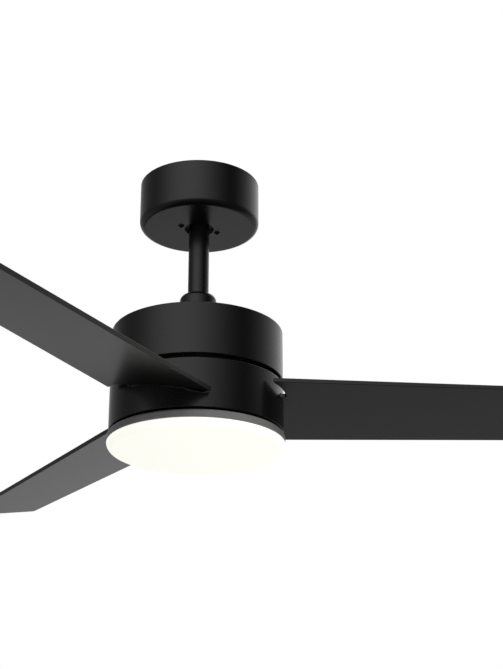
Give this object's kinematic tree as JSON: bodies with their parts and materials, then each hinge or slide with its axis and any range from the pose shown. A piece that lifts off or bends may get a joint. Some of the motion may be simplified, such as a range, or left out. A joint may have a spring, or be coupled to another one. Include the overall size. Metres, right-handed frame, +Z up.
{
  "type": "ceiling fan with light",
  "caption": "Black ceiling fan: canopy, short downrod, drum motor housing, straight pitched blades and a round opal light under the hub.",
  "frame": {"origin": "middle of the ceiling bracket's top face, where it meets the ceiling, on the fan's axis", "axes": "+Z up into the ceiling, along the fan's axis; +X along one blade and along the row of ceiling screws"},
  "size_m": [0.9671, 1.1102, 0.3689],
  "materials": {
    "black_metal": "satin black powder coat",
    "blade_black": "plywood under satin black paint",
    "steel": "zinc-plated steel",
    "dark_steel": "dark oxide steel",
    "cast_alloy": "die-cast, satin",
    "opal": "opal acrylic, lit from behind",
    "ring_grey": "satin grey trim",
    "black_plastic": "moulded",
    "pale_plastic": "moulded",
    "board_green": "solder-masked circuit board",
    "board_white": "white solder mask on aluminium",
    "led_yellow": "LED package with phosphor",
    "core_steel": "laminated electrical steel",
    "copper_wire": "enamelled copper winding",
    "magnet": "sintered ferrite",
    "rubber": "soft, matt",
    "ground_green": "green-dyed screw",
    "wire_red": "insulated leads"
  },
  "bodies": {
    "ceiling_mount": {"ceiling_bracket": "steel", "canopy": "black_metal", "canopy_screws": "black_metal", "receiver_case": "black_plastic", "receiver_board": "board_green", "terminal_block": "pale_plastic", "ground_screw": "ground_green"},
    "hanging_frame": {"hanger_ball": "black_plastic", "ball_pin": "steel", "downrod": "black_metal", "coupler": "dark_steel", "clevis_pin": "steel", "cotter_pin": "steel", "coupler_set_screws": "dark_steel", "motor_shaft": "steel", "motor_mount_plate": "cast_alloy", "upper_housing": "black_metal", "housing_screws": "black_metal", "stator_core": "core_steel", "stator_windings": "copper_wire", "sensor_board": "board_green", "bearing_inner_rings": "steel", "light_pan": "cast_alloy", "shaft_nut": "steel", "light_ring": "ring_grey", "light_ring_screws": "steel", "led_board": "board_white", "led_chips": "led_yellow", "led_driver": "pale_plastic", "lead_wires": "wire_red", "rod_connector": "pale_plastic", "light_connector": "pale_plastic"},
    "fan_rotor": {"rotor_top_cover": "cast_alloy", "rotor_bottom_cover": "cast_alloy", "rotor_screws": "steel", "rotor_magnets": "magnet", "bearing_outer_rings": "steel", "bearing_balls": "steel", "hub_shell": "black_metal", "blade_arm_1": "dark_steel", "blade_arm_2": "dark_steel", "blade_arm_3": "dark_steel", "arm_screws": "steel", "blade_pads": "rubber", "blade_1": "blade_black", "blade_2": "blade_black", "blade_3": "blade_black", "blade_screws": "steel"},
    "sliding_cover": {"coupling_cover": "black_metal", "cover_grommet": "rubber"},
    "light_cover": {"diffuser": "opal"}
  },
  "joints": [
    {"name": "ball_tilt", "type": "hinge", "parent": "ceiling_mount", "child": "hanging_frame", "pos_m": [0, 0, -0.0406], "axis": [1, 0, 0], "range_deg": [-10, 10]},
    {"name": "fan_spin", "type": "hinge", "parent": "hanging_frame", "child": "fan_rotor", "pos_m": [0, 0, -0.28], "axis": [0, 0, 1], "continuous": true},
    {"name": "cover_slide", "type": "slide", "parent": "hanging_frame", "child": "sliding_cover", "axis": [0, 0, 1], "range_m": [0, 0.085]},
    {"name": "diffuser_twist", "type": "hinge", "parent": "hanging_frame", "child": "light_cover", "pos_m": [0, 0, -0.36], "axis": [0, 0, 1], "range_deg": [0, 20]}
  ]
}
